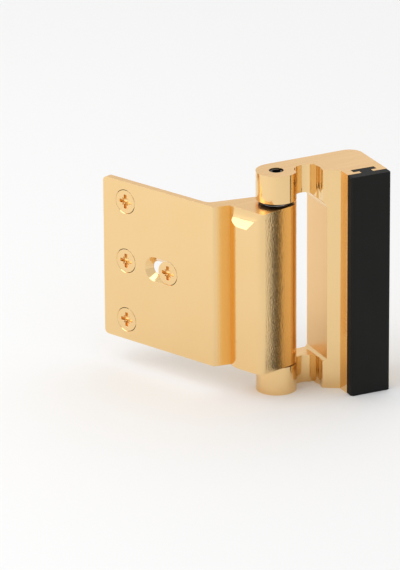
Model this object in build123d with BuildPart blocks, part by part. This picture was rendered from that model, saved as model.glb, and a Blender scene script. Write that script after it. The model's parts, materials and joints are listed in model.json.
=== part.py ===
"""Door reinforcement lock: a plate for four screws, and an arm with a rubber pad that swings on a pin.

Millimetres. The origin is the middle of the plate's back face.
+X runs along the plate from its free edge to the barrel, +Y to the screws' points and +Z up the pin.
"""
import os
from math import cos, radians, sin, sqrt, tan

from build123d import *

os.makedirs("parts", exist_ok=True)

# Plate, one extrusion: leaf, slanted leg, barrel and nose
LEAF_WIDTH = 47.6
LEAF_THICKNESS = 2.4
LEAF_CORNER_RADIUS = 1.6
PIN_STANDOFF = 14.9
LEG_ANGLE = 59.5
LEG_THICKNESS = 4.8
LEG_ROOT_RADIUS = 3.0
BARREL_RADIUS = 6.6
NOSE_REACH = 13.7
NOSE_SIDE_LEAN = 7.7
NOSE_CORNER_RADIUS = 2.4
NOSE_FLAT_LEFT = 4.5
NOSE_NOTCH_REACH = 12.3
SCOOP_HEIGHT = 6.2
SCOOP_DEPTH = 1.2
SCOOP_RADIUS = 9.0
SCOOP_INSET = 1.2
SCOOP_FLAT_END = 1.2

# Holes in the leaf, measured from its free edge, and from its ends to the outer screws
SCREW_INSET = 9.6
SCREW_END_INSET = 6.98
SLOT_INSET = 25.0
SLOT_TRAVEL = 5.6

# Flat-head screws
HEAD_DIAMETER = 8.0
SHANK_DIAMETER = 4.2
CORE_DIAMETER = 3.0
NECK_BELOW_LEAF = 0.6
SCREW_LENGTH = 16.0
POINT_LENGTH = 4.0
HEAD_ANGLE = 82.0
HEAD_SINK = 0.05
SCREW_CLEARANCE = 0.25
RECESS_SPAN = 4.9
RECESS_WIDTH = 1.2
RECESS_DEPTH = 1.2
RECESS_TAPER = 8.0

# Swing arm, one extrusion with a window milled through it
ARM_HEIGHT = 76.2
KNUCKLE_HEIGHT = 9.525
KNUCKLE_RADIUS = 6.75
ARM_LENGTH = 32.8
BACK_FLARE = 1.1
BACK_CORNER_RADIUS = 4.5
MOUNT_FACE_OFFSET = 14.5
MOUNT_FACE_WIDTH = 14.2
MOUNT_FACE_DEPTH = 4.9
FACET_RISE = 2.9
WEB_FACE = 13.6
GROOVE_RADIUS = 4.4
GROOVE_OFFSET = 3.6
GROOVE_EDGE = 1.8
WINDOW_END = 14.8
WINDOW_TOP_RADIUS = 4.2
WINDOW_BOTTOM_RADIUS = 1.2
REST_ANGLE = 24.0

# Tee slot in the arm and the rubber pad that slides into it
TEE_NECK = 4.2
TEE_LIP = 1.6
TEE_HEAD = 8.4
TEE_HEAD_DEPTH = 2.2
TEE_CLEARANCE = 0.1
PAD_THICKNESS = 3.3
PAD_EDGE_RADIUS = 1.0

# Hinge pin, spring and washer
PIN_DIAMETER = 4.8
PIN_BORE = 2.8
PIN_SLIT = 0.9
PIN_RECESS = 0.3
PIN_CHAMFER = 0.4
PIN_SEAT_CLEARANCE = 0.01
PIN_RUNNING_CLEARANCE = 0.05
UNDER_GAP = 0.3
WASHER_RADIUS = 5.9
WASHER_THICKNESS = 0.5
WASHER_CLEARANCE = 0.15
WASHER_GAP = 0.02
LIFT_TRAVEL = 0.7
LIFT_CLEARANCE = 0.07
SPRING_WELL_RADIUS = 4.9
SPRING_WELL_DEPTH = 12.0
SPRING_WIRE = 1.1
SPRING_TURNS = 5.0
SPRING_SIDE_CLEARANCE = 0.25
SPRING_END_CLEARANCE = 0.05

# Places that follow from those sizes, measured from the pin's axis
leg_sine = sin(radians(LEG_ANGLE))
leg_cosine = cos(radians(LEG_ANGLE))
leaf_back = -PIN_STANDOFF
leaf_front = leaf_back - LEAF_THICKNESS


def on_leg_face(distance, y):
    """The point at height y of a leg face that lies this far behind the pin's axis."""
    return ((leg_cosine * y - distance) / leg_sine, y)


leg_front_distance = BARREL_RADIUS - LEG_THICKNESS
front_corner = on_leg_face(leg_front_distance, leaf_front)
back_corner = on_leg_face(BARREL_RADIUS, leaf_back)
notch = on_leg_face(leg_front_distance, -NOSE_NOTCH_REACH)
front_foot = (-leg_front_distance * leg_sine, leg_front_distance * leg_cosine)
back_foot = (-BARREL_RADIUS * leg_sine, BARREL_RADIUS * leg_cosine)
free_edge = front_corner[0] - LEAF_WIDTH

# The plate fills the arm's window, less the washer and the arm's travel
window_height = ARM_HEIGHT - 2 * KNUCKLE_HEIGHT
washer_room = WASHER_GAP + WASHER_THICKNESS + LIFT_TRAVEL + LIFT_CLEARANCE
base_height = window_height - UNDER_GAP - washer_room
screw_pitch = base_height / 2 - SCREW_END_INSET

# The pin's axis in the part's own frame
pin_x = -(free_edge + LEAF_WIDTH / 2)
pin_y = PIN_STANDOFF
base_bottom = -base_height / 2
base_top = base_height / 2
lower_knuckle_top = base_bottom - UNDER_GAP
arm_bottom = lower_knuckle_top - KNUCKLE_HEIGHT
arm_top = arm_bottom + ARM_HEIGHT
window_top = arm_top - KNUCKLE_HEIGHT
pin_radius = PIN_DIAMETER / 2
head_depth = (HEAD_DIAMETER - SHANK_DIAMETER) / 2 / tan(radians(HEAD_ANGLE / 2))
screw_hole_radius = SHANK_DIAMETER / 2 + SCREW_CLEARANCE
sink_radius = HEAD_DIAMETER / 2 + SCREW_CLEARANCE

# Plate
side_lean = radians(NOSE_SIDE_LEAN)
barrel_touch = (BARREL_RADIUS * cos(side_lean), -BARREL_RADIUS * sin(side_lean))
side_drop = NOSE_REACH + barrel_touch[1]
nose_corner = (barrel_touch[0] - side_drop * tan(side_lean), -NOSE_REACH)
nose_front_left = (-NOSE_FLAT_LEFT, -NOSE_REACH)

# Cutter for the scoop: a round bar along the nose's front, with a slanted right end
scoop_chord = sqrt(SCOOP_DEPTH**2 + SCOOP_HEIGHT**2)
scoop_axis_distance = sqrt(SCOOP_RADIUS**2 - (scoop_chord / 2) ** 2)
scoop_y = pin_y - NOSE_REACH + SCOOP_DEPTH / 2 - scoop_axis_distance * SCOOP_HEIGHT / scoop_chord
scoop_z = base_top - SCOOP_HEIGHT / 2 + scoop_axis_distance * SCOOP_DEPTH / scoop_chord
scoop_left = notch[0] + SCOOP_INSET
scoop_run = nose_corner[0] + SCOOP_FLAT_END

with BuildPart() as scoop_cut:
    with BuildSketch(Plane((pin_x + scoop_left, scoop_y, scoop_z), x_dir=(0, 1, 0), z_dir=(1, 0, 0))):
        Circle(SCOOP_RADIUS)
    extrude(amount=nose_corner[0] + scoop_run - scoop_left)
    with BuildSketch(Plane((pin_x, pin_y - NOSE_REACH, base_top), x_dir=(1, 0, 0), z_dir=(0, -1, 0))):
        with BuildLine():
            Polyline(
                (scoop_left, -SCOOP_HEIGHT),
                (-SCOOP_FLAT_END, -SCOOP_HEIGHT),
                (nose_corner[0] + scoop_run, SCOOP_HEIGHT),
                (scoop_left, SCOOP_HEIGHT),
                close=True,
            )
        make_face()
    extrude(amount=SCOOP_RADIUS, both=True, mode=Mode.INTERSECT)

with BuildPart() as jamb_plate:
    with BuildSketch(Plane((pin_x, pin_y, base_bottom))) as base_outline:
        with BuildLine():
            Polyline(
                (free_edge, leaf_front),
                front_corner,
                front_foot,
                back_foot,
                back_corner,
                (free_edge, leaf_back),
                close=True,
            )
        make_face()
        with BuildLine():
            TangentArc(nose_front_left, notch, tangent=(-1, 0))
            Polyline(notch, front_foot, barrel_touch, nose_corner, nose_front_left)
        make_face()
        Circle(BARREL_RADIUS)
        fillet(base_outline.vertices().sort_by_distance((*back_corner, 0))[0], LEG_ROOT_RADIUS)
        fillet(base_outline.vertices().sort_by_distance((*nose_corner, 0))[0], NOSE_CORNER_RADIUS)
    extrude(amount=base_height)
    leaf_ends = jamb_plate.edges().filter_by(Axis.Y).group_by(Axis.X)[0]
    fillet(leaf_ends, LEAF_CORNER_RADIUS)
    # The pin's bore, and the spring's well in the top of the barrel
    with Locations((pin_x, pin_y, base_top)):
        CounterBoreHole(pin_radius + PIN_RUNNING_CLEARANCE, SPRING_WELL_RADIUS, SPRING_WELL_DEPTH)
    # The scoop in the nose's top front edge, where the window's corner drops in
    add(scoop_cut.part, mode=Mode.SUBTRACT)
    # Countersunk holes, and the countersunk slot for setting the plate
    leaf_plane = Plane((-LEAF_WIDTH / 2, -LEAF_THICKNESS, 0), x_dir=(1, 0, 0), z_dir=(0, -1, 0))
    with BuildSketch(leaf_plane) as through_holes:
        with GridLocations(0, screw_pitch, 1, 3):
            with Locations((SCREW_INSET, 0)):
                Circle(screw_hole_radius)
        with Locations((SLOT_INSET, 0)):
            SlotCenterToCenter(SLOT_TRAVEL, 2 * screw_hole_radius)
    extrude(amount=-LEAF_THICKNESS, mode=Mode.SUBTRACT)
    with BuildSketch(leaf_plane) as sinks:
        with GridLocations(0, screw_pitch, 1, 3):
            with Locations((SCREW_INSET, 0)):
                Circle(sink_radius)
        with Locations((SLOT_INSET, 0)):
            SlotCenterToCenter(SLOT_TRAVEL, 2 * sink_radius)
    extrude(amount=-head_depth, taper=HEAD_ANGLE / 2, mode=Mode.SUBTRACT)

jamb_plate.part.label = "jamb_plate"
export_step(jamb_plate.part, "parts/jamb_plate.step")

# Swing arm: u runs along the arm from the pin, and the pad's side is at negative v
rest = radians(REST_ANGLE)
arm_direction = (sin(rest), cos(rest), 0)
pad_direction = (cos(rest), -sin(rest), 0)
arm_plan = Plane((pin_x, pin_y, arm_bottom), x_dir=arm_direction, z_dir=(0, 0, 1))
pad_centre = ARM_LENGTH - MOUNT_FACE_WIDTH / 2
pad_near = ARM_LENGTH - MOUNT_FACE_WIDTH
facet_top = MOUNT_FACE_OFFSET - MOUNT_FACE_DEPTH
facet_foot = facet_top - FACET_RISE
back_end = KNUCKLE_RADIUS + BACK_FLARE
groove_centre = WEB_FACE - sqrt(GROOVE_RADIUS**2 - (GROOVE_OFFSET - GROOVE_EDGE) ** 2)
tee_floor = MOUNT_FACE_OFFSET - TEE_LIP - TEE_HEAD_DEPTH

with BuildPart() as swing_arm:
    with BuildSketch(arm_plan) as arm_outline:
        with BuildLine():
            Polyline(
                (0, KNUCKLE_RADIUS),
                (ARM_LENGTH, back_end),
                (ARM_LENGTH, -MOUNT_FACE_OFFSET),
                (pad_near, -MOUNT_FACE_OFFSET),
                (pad_near, -facet_top),
                (WEB_FACE, -facet_foot),
                (WEB_FACE, 0),
                (0, 0),
                close=True,
            )
        make_face()
        fillet(arm_outline.vertices().sort_by_distance((ARM_LENGTH, back_end, 0))[0], BACK_CORNER_RADIUS)
        Circle(KNUCKLE_RADIUS)
        with Locations((groove_centre, -GROOVE_OFFSET)):
            Circle(GROOVE_RADIUS, mode=Mode.SUBTRACT)
        with Locations((pad_centre, -MOUNT_FACE_OFFSET)):
            Rectangle(TEE_NECK, 2 * TEE_LIP, mode=Mode.SUBTRACT)
        with Locations((pad_centre, -tee_floor)):
            Rectangle(TEE_HEAD, TEE_HEAD_DEPTH, align=(Align.CENTER, Align.MAX), mode=Mode.SUBTRACT)
    extrude(amount=ARM_HEIGHT)
    # The window, cut past the knuckles' far side, which makes the two knuckles
    window_plane = Plane((pin_x, pin_y, lower_knuckle_top), x_dir=arm_direction, z_dir=pad_direction)
    window_length = WINDOW_END + 2 * KNUCKLE_RADIUS
    with BuildSketch(window_plane) as window:
        with Locations((WINDOW_END, 0)):
            Rectangle(window_length, window_height, align=(Align.MAX, Align.MIN))
        fillet(window.vertices().sort_by_distance((WINDOW_END, window_height, 0))[0], WINDOW_TOP_RADIUS)
        fillet(window.vertices().sort_by_distance((WINDOW_END, 0, 0))[0], WINDOW_BOTTOM_RADIUS)
    extrude(amount=ARM_LENGTH, both=True, mode=Mode.SUBTRACT)
    with Locations((pin_x, pin_y, arm_top)):
        Hole(pin_radius + PIN_SEAT_CLEARANCE)

swing_arm.part.label = "swing_arm"
export_step(swing_arm.part, "parts/swing_arm.step")

# Rubber pad, with the tee rail that holds it in the arm
with BuildPart() as bumper_pad:
    with BuildSketch(arm_plan) as pad_outline:
        with Locations((pad_centre, -MOUNT_FACE_OFFSET)):
            Rectangle(MOUNT_FACE_WIDTH, PAD_THICKNESS, align=(Align.CENTER, Align.MAX))
        fillet(pad_outline.vertices().group_by(Axis.Y)[0], PAD_EDGE_RADIUS)
        with Locations((pad_centre, -MOUNT_FACE_OFFSET)):
            Rectangle(
                TEE_NECK - 2 * TEE_CLEARANCE,
                TEE_LIP + 2 * TEE_CLEARANCE,
                align=(Align.CENTER, Align.MIN),
            )
        with Locations((pad_centre, -(tee_floor + TEE_CLEARANCE))):
            Rectangle(
                TEE_HEAD - 2 * TEE_CLEARANCE,
                TEE_HEAD_DEPTH - 2 * TEE_CLEARANCE,
                align=(Align.CENTER, Align.MAX),
            )
    extrude(amount=ARM_HEIGHT)

bumper_pad.part.label = "bumper_pad"
export_step(bumper_pad.part, "parts/bumper_pad.step")

# Hinge pin: a rolled spring pin with a slit down its side
pin_length = ARM_HEIGHT - 2 * PIN_RECESS
with BuildPart() as hinge_pin:
    with BuildSketch(Plane((pin_x, pin_y, arm_bottom + PIN_RECESS))):
        Circle(pin_radius)
    extrude(amount=pin_length)
    chamfer(hinge_pin.edges().filter_by(GeomType.CIRCLE), PIN_CHAMFER)
    with BuildSketch(Plane((pin_x, pin_y, arm_bottom + PIN_RECESS))):
        Circle(PIN_BORE / 2)
        Rectangle(PIN_SLIT, PIN_DIAMETER, align=(Align.CENTER, Align.MIN))
    extrude(amount=pin_length, mode=Mode.SUBTRACT)

hinge_pin.part.label = "hinge_pin"
export_step(hinge_pin.part, "parts/hinge_pin.step")

# Washer under the upper knuckle, and the spring that holds it up
washer_bottom = window_top - WASHER_GAP - WASHER_THICKNESS
with BuildPart() as spring_washer:
    with BuildSketch(Plane((pin_x, pin_y, washer_bottom))):
        Circle(WASHER_RADIUS)
        Circle(pin_radius + WASHER_CLEARANCE, mode=Mode.SUBTRACT)
    extrude(amount=WASHER_THICKNESS)

spring_washer.part.label = "spring_washer"
export_step(spring_washer.part, "parts/spring_washer.step")

spring_floor = base_top - SPRING_WELL_DEPTH
wire_radius = SPRING_WIRE / 2
coil_radius = SPRING_WELL_RADIUS - SPRING_SIDE_CLEARANCE - wire_radius
coil_bottom = spring_floor + wire_radius + SPRING_END_CLEARANCE
coil_height = washer_bottom - spring_floor - SPRING_WIRE - 2 * SPRING_END_CLEARANCE
with BuildPart() as lift_spring:
    with BuildLine() as coil:
        Helix(coil_height / SPRING_TURNS, coil_height, coil_radius, center=(pin_x, pin_y, coil_bottom))
    with BuildSketch(Plane(coil.line @ 0, z_dir=coil.line % 0)):
        Circle(wire_radius)
    sweep(is_frenet=True)

lift_spring.part.label = "lift_spring"
export_step(lift_spring.part, "parts/lift_spring.step")


def flat_head_screw(name, inset, height):
    """One countersunk screw at this distance from the leaf's free edge."""
    seat_point = (inset - LEAF_WIDTH / 2, HEAD_SINK - LEAF_THICKNESS, height)
    seat = Plane(seat_point, x_dir=(1, 0, 0), z_dir=(0, 1, 0))
    shank_radius = SHANK_DIAMETER / 2
    core_radius = CORE_DIAMETER / 2
    neck_end = LEAF_THICKNESS + NECK_BELOW_LEAF
    with BuildPart() as screw:
        with BuildSketch(seat.rotated((90, 0, 0))) as half_section:
            with BuildLine():
                Polyline(
                    (0, 0),
                    (HEAD_DIAMETER / 2, 0),
                    (shank_radius, head_depth),
                    (shank_radius, neck_end),
                    (core_radius, neck_end),
                    (core_radius, SCREW_LENGTH - POINT_LENGTH),
                    (0, SCREW_LENGTH),
                    close=True,
                )
            make_face()
        revolve(axis=Axis(seat.origin, seat.z_dir))
        with BuildSketch(seat):
            Rectangle(RECESS_SPAN, RECESS_WIDTH)
            Rectangle(RECESS_WIDTH, RECESS_SPAN)
        extrude(amount=RECESS_DEPTH, taper=RECESS_TAPER, mode=Mode.SUBTRACT)
    screw.part.label = name
    export_step(screw.part, f"parts/{name}.step")


flat_head_screw("plate_screw_top", SCREW_INSET, screw_pitch)
flat_head_screw("plate_screw_middle", SCREW_INSET, 0)
flat_head_screw("plate_screw_bottom", SCREW_INSET, -screw_pitch)
flat_head_screw("adjusting_screw", SLOT_INSET + SLOT_TRAVEL / 2, 0)
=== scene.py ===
# %% [markdown]
# # A door reinforcement lock
#
# The lock is two aluminium extrusions on one pin. The plate is held by four screws, and the arm swings
# round the pin, with a rubber pad along its edge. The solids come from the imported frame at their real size.
# This lesson softens their edges, threads the screws, gives every surface its finish, and lights the lock
# as a small studio would.

# %% Load the frame
import json
from math import cos, hypot, pi, radians, sin

import bpy
from mathutils import Matrix, Vector

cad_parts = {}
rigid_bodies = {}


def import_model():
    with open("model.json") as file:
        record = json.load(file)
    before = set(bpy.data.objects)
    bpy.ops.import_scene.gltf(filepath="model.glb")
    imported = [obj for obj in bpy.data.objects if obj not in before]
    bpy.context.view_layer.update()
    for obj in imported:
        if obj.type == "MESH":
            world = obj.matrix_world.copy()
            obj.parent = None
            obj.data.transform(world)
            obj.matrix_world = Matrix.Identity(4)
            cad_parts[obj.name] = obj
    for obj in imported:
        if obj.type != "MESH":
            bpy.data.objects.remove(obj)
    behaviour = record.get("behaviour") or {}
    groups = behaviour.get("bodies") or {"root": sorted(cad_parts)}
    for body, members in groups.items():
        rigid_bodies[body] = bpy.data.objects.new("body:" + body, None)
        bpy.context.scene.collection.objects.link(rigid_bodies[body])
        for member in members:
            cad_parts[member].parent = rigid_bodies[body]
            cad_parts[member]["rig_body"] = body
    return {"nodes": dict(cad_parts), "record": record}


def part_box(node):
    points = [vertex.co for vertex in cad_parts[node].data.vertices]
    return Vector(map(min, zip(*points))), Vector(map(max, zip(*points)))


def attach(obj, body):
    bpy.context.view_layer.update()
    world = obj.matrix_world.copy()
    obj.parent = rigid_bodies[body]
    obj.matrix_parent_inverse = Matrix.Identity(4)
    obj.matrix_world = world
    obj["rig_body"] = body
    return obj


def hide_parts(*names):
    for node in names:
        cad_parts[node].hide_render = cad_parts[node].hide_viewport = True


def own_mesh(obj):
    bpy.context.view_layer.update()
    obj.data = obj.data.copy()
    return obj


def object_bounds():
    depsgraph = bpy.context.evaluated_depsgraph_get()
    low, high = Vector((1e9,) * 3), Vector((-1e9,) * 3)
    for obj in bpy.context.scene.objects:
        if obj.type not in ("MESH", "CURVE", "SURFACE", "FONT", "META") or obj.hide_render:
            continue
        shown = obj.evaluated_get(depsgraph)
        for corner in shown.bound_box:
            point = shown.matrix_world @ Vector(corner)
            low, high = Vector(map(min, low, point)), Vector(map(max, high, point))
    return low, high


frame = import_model()
cad_low, cad_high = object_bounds()
MM = 0.001
print("CAD box, mm:", [round(v / MM, 1) for v in cad_high - cad_low])

# %% [markdown]
# ## Working by hand, in code
#
# An operator acts on whatever is selected, and the frame's pieces are all selected when they arrive. So
# each step first selects one piece alone, as a click would. Edit mode and modifiers then get one helper
# each, because both are used on every piece below.


# %% Selection helpers
def only(piece):
    """Selects this piece alone and makes it the active one."""
    bpy.ops.object.select_all(action="DESELECT")
    piece.select_set(True)
    bpy.context.view_layer.objects.active = piece


def edit(piece, *steps):
    """Runs each step in edit mode, with the whole mesh selected."""
    only(piece)
    bpy.ops.object.mode_set(mode="EDIT")
    for step in steps:
        bpy.ops.mesh.select_all(action="SELECT")
        step()
    bpy.ops.object.mode_set(mode="OBJECT")


def apply_modifier(piece, kind, **settings):
    """Adds a modifier with these settings and applies it to the mesh."""
    only(piece)
    modifier = piece.modifiers.new(kind.lower(), kind)
    for name, value in settings.items():
        setattr(modifier, name, value)
    bpy.ops.object.modifier_apply(modifier=modifier.name)


def middle(node):
    """The middle of a node's box."""
    low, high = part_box(node)
    return (low + high) / 2


print("the pin stands at, mm:", [round(v / MM, 2) for v in middle("hinge_pin")])

# %% [markdown]
# ## Softened copies of the solids
#
# A cut or extruded edge is never razor sharp: its narrow round catches the light as a thin bright line.
# The edges could be rounded in the solids too, but so fine a round would only slow every cut there. A frame
# piece is loose triangles and stays as it is, so a copy is welded into one skin, its flat faces are joined
# up again, and a small bevel runs along every edge that turns by more than a set angle. At the end the
# normals are weighted by face area, so that flat faces stay flat to the eye right up to their edges.

# %% Weld a copy
WELD = 0.002 * MM
FLAT_ANGLE = radians(0.4)


def weld():
    bpy.ops.mesh.remove_doubles(threshold=WELD)


def join_flats():
    bpy.ops.mesh.dissolve_limited(angle_limit=FLAT_ANGLE, delimit={"NORMAL"})


def copied(node):
    """A copy of a frame piece as one closed skin."""
    piece = bpy.data.objects.new(node + "_finished", frame["nodes"][node].data.copy())
    bpy.context.collection.objects.link(piece)
    piece.data.materials.clear()
    only(piece)
    bpy.ops.mesh.customdata_custom_splitnormals_clear()
    edit(piece, weld)
    return piece


def welded(node):
    """A copy of a frame piece with whole flat faces."""
    piece = copied(node)
    edit(piece, join_flats)
    return piece


# %% Soften a copy
EDGE_ANGLE = radians(24)
EDGE_STEPS = 3
SMOOTH_ANGLE = radians(60)
FULL_WEIGHT = 100


def soften(piece, edge_width, steps=EDGE_STEPS):
    """Rounds every edge of a piece, and keeps its flat faces flat to the eye."""
    apply_modifier(
        piece,
        "BEVEL",
        width=edge_width,
        segments=steps,
        limit_method="ANGLE",
        angle_limit=EDGE_ANGLE,
        use_clamp_overlap=True,
    )
    only(piece)
    bpy.ops.object.shade_smooth_by_angle(angle=SMOOTH_ANGLE)
    apply_modifier(piece, "WEIGHTED_NORMAL", weight=FULL_WEIGHT, keep_sharp=True)


def stand_for(piece, node):
    """Puts a finished piece in a node's place, on the node's body."""
    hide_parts(node)
    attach(piece, frame["nodes"][node]["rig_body"])
    print(node, "has", len(piece.data.polygons), "faces")


# %% [markdown]
# ## How round each edge is
#
# The width of the round tells the material. Rubber has the roundest edges, sawn aluminium is only deburred,
# and the pin and the washer are hard and small, with no more than a hint of a round. One width for all would
# be simpler, but it would make the pad look as hard as the arm.

# %% Soften five pieces
EDGE_WIDTHS = {
    "jamb_plate": 0.16 * MM,
    "swing_arm": 0.2 * MM,
    "bumper_pad": 0.3 * MM,
    "hinge_pin": 0.08 * MM,
    "spring_washer": 0.06 * MM,
}


def softened(node):
    piece = welded(node)
    soften(piece, EDGE_WIDTHS[node])
    stand_for(piece, node)
    return piece


plate = softened("jamb_plate")
arm = softened("swing_arm")
pad = softened("bumper_pad")
pin = softened("hinge_pin")
washer = softened("spring_washer")

# %% [markdown]
# ## The spring gives way
#
# A coil spring sits in the barrel's well and carries the arm. When the arm is pressed down, the spring
# shortens. This copy stays stiff: the cell works out the spring's length and the length that the arm
# travels, and gives the copy a mesh of its own.

# %% Spring
spring = copied("lift_spring")
only(spring)
bpy.ops.object.shade_smooth_by_angle(angle=SMOOTH_ANGLE)
stand_for(spring, "lift_spring")
spring_foot, spring_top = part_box("lift_spring")
lift = next(joint for joint in frame["record"]["behaviour"]["joints"] if joint["name"] == "lift")
travel = -lift["range_m"][0]
spring_length = spring_top.z - spring_foot.z
1 - travel / spring_length
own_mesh(spring)
print("spring, mm:", round(spring_length / MM, 2), "shortens by", round(travel / MM, 2))

# %% [markdown]
# ## The screw's recess
#
# Four flat-head screws hold the plate. The driver's recess is a cross with four short ticks between its
# wings, which tell this recess from a plain cross. The solid has the cross. The ticks could be a bump, but
# the recess is seen close up, so two thin bars are crossed at 45 degrees and cut out of the head.

# %% Cut the ticks
SCREWS = ["plate_screw_top", "plate_screw_middle", "plate_screw_bottom", "adjusting_screw"]
TICK_LENGTH = 3.3 * MM
TICK_WIDTH = 0.42 * MM
TICK_DEPTH = 0.55 * MM
SCREW_EDGE = 0.05 * MM
SCREW_EDGE_STEPS = 2


def head_top(node):
    """The middle of a screw head's flat top, which faces -Y."""
    top = middle(node)
    top.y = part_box(node)[0].y
    return top


def tick_bar(head, turn):
    """A thin bar that lies half its depth in a screw's head, turned about the screw's axis."""
    bpy.ops.mesh.primitive_cube_add(size=1, location=head, rotation=(0, turn, 0))
    bar = bpy.context.object
    bar.scale = (TICK_LENGTH, 2 * TICK_DEPTH, TICK_WIDTH)
    return bar


def cut_ticks(screw, head):
    for turn in (pi / 4, -pi / 4):
        bar = tick_bar(head, turn)
        apply_modifier(screw, "BOOLEAN", object=bar, operation="DIFFERENCE", solver="EXACT")
        bpy.data.objects.remove(bar)


screws = {}
for node in SCREWS:
    screws[node] = welded(node)
    cut_ticks(screws[node], head_top(node))
    soften(screws[node], SCREW_EDGE, SCREW_EDGE_STEPS)
print("cut ticks in", len(screws), "heads")

# %% [markdown]
# ## The screw's thread
#
# The solid is the screw's core, and its thread is a thin ridge that winds round it. A ring of discs would
# look right from afar, but a real thread climbs, so one triangle is wound along the axis by a Screw
# modifier. The ridge then sinks into the core at both ends and follows the point down to nothing.

# %% Wind one ridge
CORE_RADIUS = 1.5 * MM
CREST_RADIUS = 2.1 * MM
RIDGE_FOOT = 0.62 * MM
ROOT_SINK = 0.06 * MM
PITCH = 1.4 * MM
THREAD_START = 3.6 * MM
STEPS_PER_TURN = 20
screw_head, screw_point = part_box(SCREWS[0])
screw_length = screw_point.y - screw_head.y
turns = int((screw_length - THREAD_START - RIDGE_FOOT) / PITCH)


def wound_ridge():
    """One triangle, wound along +Y from the head's top at the origin."""
    bpy.ops.mesh.primitive_circle_add(vertices=3, radius=CORE_RADIUS)
    ridge = bpy.context.object
    corners = [
        (CORE_RADIUS - ROOT_SINK, THREAD_START - RIDGE_FOOT / 2, 0),
        (CREST_RADIUS, THREAD_START, 0),
        (CORE_RADIUS - ROOT_SINK, THREAD_START + RIDGE_FOOT / 2, 0),
    ]
    for vertex, corner in zip(ridge.data.vertices, corners):
        vertex.co = corner
    apply_modifier(
        ridge,
        "SCREW",
        axis="Y",
        angle=2 * pi,
        screw_offset=PITCH,
        iterations=turns,
        steps=STEPS_PER_TURN,
        render_steps=STEPS_PER_TURN,
    )
    return ridge


thread = wound_ridge()
print("a screw of", round(screw_length / MM, 2), "mm has", turns, "turns of thread")

# %% Taper the ridge
POINT_LENGTH = 4.0 * MM
POINT_RADIUS = 0.02 * MM
RUN_IN = 1.2 * MM


def core_radius(depth):
    """The core's radius this far below the head's top, down to the point."""
    return CORE_RADIUS * min(1, max(0, (screw_length - depth) / POINT_LENGTH))


def taper_ridge(ridge):
    """Lets the ridge rise out of the core, and follow the core's point."""
    for vertex in ridge.data.vertices:
        radius = hypot(vertex.co.x, vertex.co.z)
        depth = vertex.co.y
        rise = min(1, max(0, (depth - THREAD_START) / RUN_IN))
        share = core_radius(depth) / CORE_RADIUS
        height = (radius - CORE_RADIUS) * rise * share
        wanted = max(core_radius(depth) + min(height, radius - CORE_RADIUS), POINT_RADIUS)
        vertex.co.x *= wanted / radius
        vertex.co.z *= wanted / radius


taper_ridge(thread)
print("the thread ends at, mm:", round(max(vertex.co.y for vertex in thread.data.vertices) / MM, 2))


# %% Close the thread
def close_ends():
    bpy.ops.mesh.fill_holes(sides=4)


def face_outward():
    bpy.ops.mesh.normals_make_consistent(inside=False)


edit(thread, weld, close_ends, face_outward)
only(thread)
bpy.ops.object.shade_smooth_by_angle(angle=EDGE_ANGLE)
print("one thread has", len(thread.data.polygons), "faces")

# %% Thread the four screws
for node, screw in screws.items():
    ridge = bpy.data.objects.new("ridge", thread.data.copy())
    bpy.context.collection.objects.link(ridge)
    ridge.data.transform(Matrix.Translation(head_top(node)))
    only(screw)
    ridge.select_set(True)
    bpy.ops.object.join()
    stand_for(screw, node)
bpy.data.objects.remove(thread)

# %% [markdown]
# ## Shader sums in Python
#
# A finish is a graph of nodes, and wiring Math nodes by hand hides the sum that they make. A small class
# wraps one output, so that `1 - mask * 0.5` adds its Math nodes by itself. One method adds any other node.


# %% One output in sums
class Socket:
    """One output of a node, which can be used in sums."""

    def __init__(self, finish, output):
        self.finish = finish
        self.output = output

    def sum(self, operation, first, second):
        return self.finish.node("ShaderNodeMath", {"operation": operation}, {0: first, 1: second})

    def __add__(self, other):
        return self.sum("ADD", self, other)

    def __radd__(self, other):
        return self.sum("ADD", other, self)

    def __sub__(self, other):
        return self.sum("SUBTRACT", self, other)

    def __rsub__(self, other):
        return self.sum("SUBTRACT", other, self)

    def __mul__(self, other):
        return self.sum("MULTIPLY", self, other)

    def __rmul__(self, other):
        return self.sum("MULTIPLY", other, self)

    def __pow__(self, other):
        return self.sum("POWER", self, other)


# %% [markdown]
# ## A finish in the making
#
# Each finish starts as one Principled shader. Values that are the same all over go straight to its sockets,
# and what changes over the surface is built from a few masks: where a point lies, which way its face looks,
# and noise that is stretched along the marks that a tool leaves.


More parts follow.
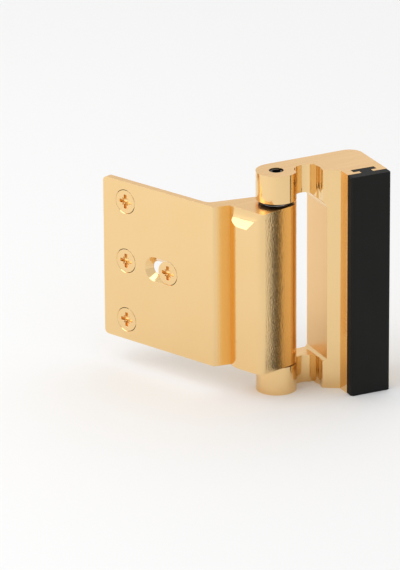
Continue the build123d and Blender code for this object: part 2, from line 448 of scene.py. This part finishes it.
# %% One material with its nodes
class Finish:
    """A material in the making, with its shader."""

    def __init__(self, name, **constants):
        self.material = bpy.data.materials.new(name)
        self.material.use_nodes = True
        self.tree = self.material.node_tree
        self.shader = self.tree.nodes["Principled BSDF"]
        for socket, value in constants.items():
            self.shader.inputs[socket.replace("_", " ")].default_value = value

    def node(self, kind, settings, inputs, output=0):
        """Adds a node: its settings first, then the values or links of its sockets."""
        node = self.tree.nodes.new(kind)
        for name, value in settings.items():
            setattr(node, name, value)
        for name, value in inputs.items():
            self.feed(node.inputs[name], value)
        return Socket(self, node.outputs[output])

    def feed(self, socket, value):
        if isinstance(value, Socket):
            self.tree.links.new(value.output, socket)
        else:
            socket.default_value = value

    def paint(self, **links):
        """Feeds the shader's own sockets."""
        for name, value in links.items():
            self.feed(self.shader.inputs[name.replace("_", " ")], value)

    def place(self):
        return self.node("ShaderNodeTexCoord", {}, {}, "Object")

    def facing(self, direction):
        """How squarely the surface faces a direction, from 0 for sideways or away to 1."""
        normal = self.node("ShaderNodeTexCoord", {}, {}, "Normal")
        settings = {"operation": "DOT_PRODUCT"}
        square = self.node("ShaderNodeVectorMath", settings, {0: normal, 1: direction}, "Value")
        return self.node("ShaderNodeClamp", {}, {0: square})

    def along(self, direction):
        """The distance along a direction, from the origin."""
        settings = {"operation": "DOT_PRODUCT"}
        return self.node("ShaderNodeVectorMath", settings, {0: self.place(), 1: direction}, "Value")

    def near(self, value, wanted, reach):
        """1 where a value lies within reach of the wanted one, and 0 elsewhere."""
        return self.node("ShaderNodeMath", {"operation": "COMPARE"}, {0: value, 1: wanted, 2: reach})

    def ramp(self, value, start, end):
        """A smooth rise from 0 to 1 while a value goes from start to end."""
        settings = {"interpolation_type": "SMOOTHSTEP"}
        return self.node("ShaderNodeMapRange", settings, {"Value": value, "From Min": start, "From Max": end})

    def noise(self, vector, scale, detail, roughness):
        inputs = {"Vector": vector, "Scale": scale, "Detail": detail, "Roughness": roughness}
        return self.node("ShaderNodeTexNoise", {}, inputs, "Fac")

    def grain(self, scale, detail=3.0, roughness=0.5):
        """Even noise, with this many grains to the metre."""
        return self.noise(self.place(), scale, detail, roughness)

    def marks(self, size, detail=3.0, roughness=0.5, turn=0.0):
        """Noise in long marks of this size along X, Y and Z, in mm, turned about Z."""
        inputs = {"Vector": self.place(), "Rotation": (0, 0, turn), "Scale": Vector(size) * MM}
        stretched = self.node("ShaderNodeMapping", {"vector_type": "TEXTURE"}, inputs)
        return self.noise(stretched, 1.0, detail, roughness)

    def mixed(self, share, first, second):
        """A colour between two others."""
        return self.node("ShaderNodeMix", {"data_type": "RGBA"}, {0: share, 6: first, 7: second}, 2)

    def blended(self, share, first, second):
        """A number between two others."""
        return self.node("ShaderNodeMix", {"data_type": "FLOAT"}, {0: share, 2: first, 3: second}, 0)

    def leaned(self, direction, share):
        """The surface's normal, leaned towards a direction by a share of it."""
        normal = self.node("ShaderNodeTexCoord", {}, {}, "Normal")
        lean = self.node("ShaderNodeVectorMath", {"operation": "SCALE"}, {0: direction, "Scale": share})
        total = self.node("ShaderNodeVectorMath", {"operation": "ADD"}, {0: normal, 1: lean})
        settings = {"vector_type": "NORMAL", "convert_from": "OBJECT", "convert_to": "WORLD"}
        return self.node("ShaderNodeVectorTransform", settings, {0: total})

    def bump(self, height, distance, strength=1.0, **links):
        inputs = {"Height": height, "Distance": distance, "Strength": strength}
        return self.node("ShaderNodeBump", {}, inputs | links)


def dress(piece, material):
    """Gives a piece one finish."""
    piece.data.materials.clear()
    piece.data.materials.append(material)
    print(piece.name, "wears", material.name)


# %% [markdown]
# ## Gold anodised aluminium
#
# Both extrusions were pushed through a die, so their long faces carry faint lines along the pin's
# direction. Their ends were sawn, which leaves lines across them and a slightly redder, duller face.
# Etching before the gold dye makes the skin finely grainy, the plate's more than the arm's, which shows
# where a reflection fades from light to dark. One colour alone would look like plastic: the metal's tone
# comes from what it reflects, and the finish only has to break that up. Lines and grain share one bump, and
# each face takes the lines of the tool that made it.

# %% Extruded gold
GOLD = (0.885, 0.632, 0.318, 1)
GOLD_DEEP = (0.865, 0.598, 0.285, 1)
GOLD_SAWN = (0.955, 0.614, 0.278, 1)
GOLD_SAWN_DEEP = (0.915, 0.575, 0.252, 1)
DIE_LINE = (0.67, 0.67, 83)
SAW_LINE = (40, 1.5, 40)
SAW_ANGLE = radians(72)
ETCH_GRAIN = 1650
GOLD_CLOUD = 55
SKIN_DEPTH = 0.006 * MM
SQUARE = 8
UPWARD, DOWNWARD = (0, 0, 1), (0, 0, -1)


def extruded_gold(finish, etch):
    """The colour, roughness and bump height of an etched extrusion with sawn ends."""
    sawn = (finish.facing(UPWARD) + finish.facing(DOWNWARD)) ** SQUARE
    die_lines = finish.marks(DIE_LINE, 4.0, 0.6)
    saw_lines = finish.marks(SAW_LINE, 4.0, 0.6, SAW_ANGLE)
    lines = finish.blended(sawn, die_lines * 0.35, saw_lines)
    grain = finish.grain(ETCH_GRAIN, 0.0)
    cloud = finish.grain(GOLD_CLOUD, 2.0)
    long_face = finish.mixed(cloud, GOLD, GOLD_DEEP)
    end_face = finish.mixed(finish.ramp(saw_lines, 0.38, 0.62), GOLD_SAWN, GOLD_SAWN_DEEP)
    colour = finish.mixed(sawn, long_face, end_face)
    roughness = 0.11 + 0.04 * lines + 0.05 * grain + 0.1 * sawn
    return colour, roughness, lines + etch * grain


print("etched grains to the mm:", round(ETCH_GRAIN * MM, 2))

# %% [markdown]
# ## The plate's groove and nose
#
# In the groove between the leg and the nose, light bounces from one gold wall to the other, and each bounce
# deepens it to orange. The bounces alone stay too near the corner, so a deeper, duller orange is painted onto
# the leg's face towards the groove: a painted reflection of those bounces, not the metal's own colour.
#
# The nose's side mirrors the rubber pad's edge as a dark streak, with the warm arm beside it. A flat mirror
# shows this only to an eye at the right angle, so the side's shading leans a few degrees, as a slightly
# crowned side would. A dark sheet beside the lock could make the streak too, but it would be one more thing
# in the scene that isn't part of the lock.

# %% Groove beside the nose, with painted bounce light
# The groove's orange is a painted reflection of light bounced between the gold walls, not the metal's own
# colour.
GOLD_PAINTED_BOUNCE = (0.91, 0.5, 0.13, 1)
LEG_ANGLE = radians(59.5)
LEG_REACH = 4.2 * MM
GROOVE_START, GROOVE_FULL = 0.29 * MM, 3.48 * MM
leg_corner = Vector((-cad_low.x, cad_low.y, 0))
leg_direction = Vector((cos(LEG_ANGLE), sin(LEG_ANGLE), 0))
leg_normal = Vector((sin(LEG_ANGLE), -cos(LEG_ANGLE), 0))


def groove(finish):
    """How deep in the groove a point of the leg's face lies, from 0 at its corner to 1, which sets how much
    painted reflection of the groove's bounced light it takes.
    """
    depth = finish.along(leg_direction) - leg_corner.dot(leg_direction)
    beside = finish.near(finish.along((1, 0, 0)), leg_corner.x, LEG_REACH)
    return finish.ramp(depth, GROOVE_START, GROOVE_FULL) * beside * finish.facing(leg_normal) ** SQUARE


print("the leg starts at, mm:", [round(v / MM, 2) for v in leg_corner])

# %% Side of the nose
NOSE_TURN = radians(7.7)
NOSE_LEAN = 0.105
NOSE_REACH = 3 * MM
NOSE_FALLOFF = 4
nose_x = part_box("jamb_plate")[1].x
nose_normal = Vector((cos(NOSE_TURN), -sin(NOSE_TURN), 0))
nose_backward = Vector((sin(NOSE_TURN), cos(NOSE_TURN), 0))


def nose_side(finish):
    """1 on the nose's side, less round its corner and the barrel, and 0 elsewhere."""
    aside = finish.near(finish.along((1, 0, 0)), nose_x, NOSE_REACH)
    return aside * finish.facing(nose_normal) ** NOSE_FALLOFF


print("the nose's side reaches, mm:", round(nose_x / MM, 2))

# %% Gold plate
PLATE_ETCH = 2.4


def gold_plate():
    finish = Finish("gold_plate", Metallic=1.0)
    colour, roughness, height = extruded_gold(finish, PLATE_ETCH)
    # The groove's painted reflection is laid over the gold, with a rougher skin under it.
    painted_bounce = groove(finish)
    normal = finish.leaned(nose_backward, NOSE_LEAN * nose_side(finish))
    finish.paint(
        Base_Color=finish.mixed(painted_bounce, colour, GOLD_PAINTED_BOUNCE),
        Roughness=roughness + 0.32 * painted_bounce,
        Normal=finish.bump(height, SKIN_DEPTH, Normal=normal),
    )
    return finish.material


dress(plate, gold_plate())

# %% [markdown]
# ## The arm's milled window
#
# The arm is the same gold, less deeply etched. The window between its knuckles was milled, so the window's
# far wall is duller, with the cutter's broad marks. The wall could be a material of its own on those faces,
# but a mask needs no faces picked out: the wall is where the surface faces the pin, at one distance from it.

# %% Gold arm
ARM_ETCH = 0.9
GOLD_MILLED = (0.9, 0.6, 0.29, 1)
MILL_MARK = (1.1, 1.1, 6.2)
REST_ANGLE = radians(24)
WINDOW_END = 14.8 * MM
WALL_REACH = 0.12 * MM
arm_direction = Vector((sin(REST_ANGLE), cos(REST_ANGLE), 0))
window_wall = WINDOW_END + middle("hinge_pin").dot(arm_direction)


def gold_arm():
    finish = Finish("gold_arm", Metallic=1.0)
    colour, roughness, height = extruded_gold(finish, ARM_ETCH)
    milled = finish.near(finish.along(arm_direction), window_wall, WALL_REACH) * finish.facing(-arm_direction)
    mill_marks = finish.marks(MILL_MARK)
    finish.paint(
        Base_Color=finish.mixed(milled, colour, GOLD_MILLED),
        Roughness=roughness + 0.19 * milled,
        Normal=finish.bump(finish.blended(milled, height, 2 * mill_marks), SKIN_DEPTH),
    )
    return finish.material


dress(arm, gold_arm())

# %% [markdown]
# ## Rubber pad
#
# The pad is a black rubber strip, extruded and cut to length. Rubber is dark through and through, so
# nearly all the light that it returns comes off its dull skin. A rough shader with a weak reflection gives
# that, and a fine grain with a few broad, shallow swells keeps the large face from looking like paint.

# %% Rubber finish
RUBBER = (0.0042, 0.0046, 0.0038, 1)
RUBBER_PALE = (0.0075, 0.008, 0.0066, 1)
RUBBER_GRAIN = 2600
RUBBER_SWELL = 110
RUBBER_LINE = (1.25, 1.25, 71)
RUBBER_DEPTH = 0.02 * MM


def black_rubber():
    finish = Finish("rubber_skin", Specular_IOR_Level=0.2)
    grain = finish.grain(RUBBER_GRAIN, 3.0, 0.6)
    draw_lines = finish.marks(RUBBER_LINE)
    swell = finish.grain(RUBBER_SWELL)
    finish.paint(
        Base_Color=finish.mixed(swell, RUBBER, RUBBER_PALE),
        Roughness=0.5 + 0.14 * grain + 0.08 * draw_lines,
        Normal=finish.bump(grain + draw_lines * 0.7 + swell * 0.6, RUBBER_DEPTH, 0.6),
    )
    return finish.material


dress(pad, black_rubber())

# %% [markdown]
# ## Black steel and nylon
#
# The pin is rolled from blackened spring steel, and the washer over the spring is black nylon. They differ
# in how they shine: the steel's oxide is a thin glassy skin on metal, and the nylon is a dull plastic.

# %% Steel finish
STEEL = (0.012, 0.012, 0.013, 1)
STEEL_PALE = (0.03, 0.03, 0.033, 1)
STEEL_GRAIN = 2400
ROLL_LINE = (0.38, 0.38, 11)
STEEL_DEPTH = 0.004 * MM


def black_steel():
    finish = Finish("blackened_steel", Metallic=0.7)
    roll_lines = finish.marks(ROLL_LINE)
    grain = finish.grain(STEEL_GRAIN)
    finish.paint(
        Base_Color=finish.mixed(grain, STEEL, STEEL_PALE),
        Roughness=0.26 + 0.14 * grain,
        Normal=finish.bump(roll_lines + grain, STEEL_DEPTH, 0.5),
    )
    return finish.material


dress(pin, black_steel())

# %% Nylon finish
NYLON = (0.005, 0.005, 0.005, 1)
NYLON_PALE = (0.01, 0.01, 0.01, 1)
NYLON_GRAIN = 1900
NYLON_DEPTH = 0.008 * MM


def black_nylon():
    finish = Finish("dull_nylon", Specular_IOR_Level=0.25)
    grain = finish.grain(NYLON_GRAIN)
    finish.paint(
        Base_Color=finish.mixed(grain, NYLON, NYLON_PALE),
        Roughness=0.42 + 0.16 * grain,
        Normal=finish.bump(grain, NYLON_DEPTH, 0.5),
    )
    return finish.material


dress(washer, black_nylon())

# %% [markdown]
# ## Brass-plated screws and the spring
#
# The screws are steel with a thin bright brass plate, so they are a little paler than the gold round them,
# with a soft grain from the plating bath. The recess looks deep orange because light bounces in it several
# times, and each bounce takes more blue away: that needs no second colour. The spring is drawn wire, with
# fine lines along it.

# %% Brass finish
BRASS = (0.9, 0.655, 0.345, 1)
BRASS_DEEP = (0.86, 0.575, 0.255, 1)
BRASS_GRAIN = 2600
TURN_LINE = (2, 0.33, 2)
BRASS_DEPTH = 0.005 * MM


def brass_plating():
    finish = Finish("brass_plating", Metallic=1.0)
    turn_lines = finish.marks(TURN_LINE, 2.0)
    grain = finish.grain(BRASS_GRAIN, 2.0)
    finish.paint(
        Base_Color=finish.mixed(grain, BRASS, BRASS_DEEP),
        Roughness=0.14 + 0.1 * grain,
        Normal=finish.bump(grain + turn_lines * 0.5, BRASS_DEPTH, 0.6),
    )
    return finish.material


brass = brass_plating()
for screw in screws.values():
    dress(screw, brass)

# %% Spring finish
WIRE = (0.42, 0.42, 0.43, 1)
WIRE_PALE = (0.56, 0.56, 0.57, 1)
WIRE_LINE = (1.1, 1.1, 0.2)
WIRE_DEPTH = 0.004 * MM


def spring_steel():
    finish = Finish("drawn_wire", Metallic=1.0)
    draw_lines = finish.marks(WIRE_LINE, 2.0)
    finish.paint(
        Base_Color=finish.mixed(draw_lines, WIRE, WIRE_PALE),
        Roughness=0.24 + 0.12 * draw_lines,
        Normal=finish.bump(draw_lines, WIRE_DEPTH, 0.5),
    )
    return finish.material


dress(spring, spring_steel())

# %% [markdown]
# ## Floor and surroundings
#
# The lock stands on the arm's lower end on a pale floor. Polished metal shows its surroundings, so these
# matter as much as the finish: the upright faces mirror the floor close by, and the end faces mirror the
# room. Both are a plain soft white, just bright enough that the gold keeps its colour.

# %% Floor and room
FLOOR_SIZE = 4.0
FLOOR_TONE = (0.88, 0.88, 0.88, 1)
ROOM_LIGHT = 0.8
bpy.ops.mesh.primitive_plane_add(size=FLOOR_SIZE, location=(0, 0, cad_low.z))
floor = bpy.context.object
floor.name = "floor"
floor_finish = Finish("pale_floor", Roughness=0.9, Specular_IOR_Level=0.1)
floor_finish.paint(Base_Color=FLOOR_TONE)
floor.data.materials.append(floor_finish.material)

world = bpy.data.worlds.new("studio")
bpy.context.scene.world = world
world.use_nodes = True
room = world.node_tree.nodes["Background"]
room.inputs["Color"].default_value = (1, 1, 1, 1)
room.inputs["Strength"].default_value = ROOM_LIGHT
bpy.context.scene.view_settings.view_transform = "Standard"
print("floor at, mm:", round(cad_low.z / MM, 2))

# %% [markdown]
# ## Lights
#
# A broad soft box gives the main light from the left. A low one in front puts the highlight in the nose's
# scoop, and a third behind lifts the far faces. They are placed as a camera would be, by the angle round
# the lock and the height above it.


# %% Lights
def backward(azimuth, elevation):
    """The direction from the lock to a viewer at this angle round it and above it, in degrees."""
    a, e = radians(azimuth), radians(elevation)
    return Vector((sin(a) * cos(e), -cos(a) * cos(e), sin(e)))


def softbox(name, azimuth, elevation, distance, size, power):
    """An area light that faces the lock."""
    back = backward(azimuth, elevation)
    light = bpy.data.lights.new(name, "AREA")
    light.shape = "RECTANGLE"
    light.size, light.size_y = size
    light.energy = power
    box = bpy.data.objects.new(name, light)
    box.location = back * distance
    box.rotation_euler = back.to_track_quat("Z", "Y").to_euler()
    bpy.context.collection.objects.link(box)
    print(name, "box at", azimuth, "degrees round and", elevation, "up")


softbox("key", azimuth=-25, elevation=50, distance=0.9, size=(0.7, 0.7), power=2.6)
softbox("low_front", azimuth=-45, elevation=16, distance=0.9, size=(0.6, 0.5), power=1.2)
softbox("back", azimuth=190, elevation=50, distance=1.0, size=(0.8, 0.8), power=1.0)

# %% [markdown]
# ## Camera
#
# The camera looks down at the lock from the front right, with a long lens, so that the upright edges stay
# nearly upright. Its place is given from the pin's middle: round, up, along the view, and a little aside.

# %% Camera
AZIMUTH, ELEVATION, ROLL = radians(40.71), radians(21.16), radians(-0.4)
DISTANCE = 1642 * MM
ASIDE, ABOVE = -24.93 * MM, -1.66 * MM
IMAGE_HEIGHT = 570
FOCAL_PIXELS = 5027
CLIP_START = 0.01
tilt = Matrix.Rotation(AZIMUTH, 4, "Z") @ Matrix.Rotation(pi / 2 - ELEVATION, 4, "X")
camera_data = bpy.data.cameras.new("camera")
camera_data.lens = FOCAL_PIXELS * camera_data.sensor_width / IMAGE_HEIGHT
camera_data.clip_start = CLIP_START
camera = bpy.data.objects.new("camera", camera_data)
bpy.context.collection.objects.link(camera)
stand = Matrix.Translation(middle("hinge_pin")) @ tilt @ Matrix.Rotation(ROLL, 4, "Z")
camera.matrix_world = stand @ Matrix.Translation((ASIDE, ABOVE, DISTANCE))
bpy.context.scene.camera = camera
print("lens, mm:", round(camera_data.lens))
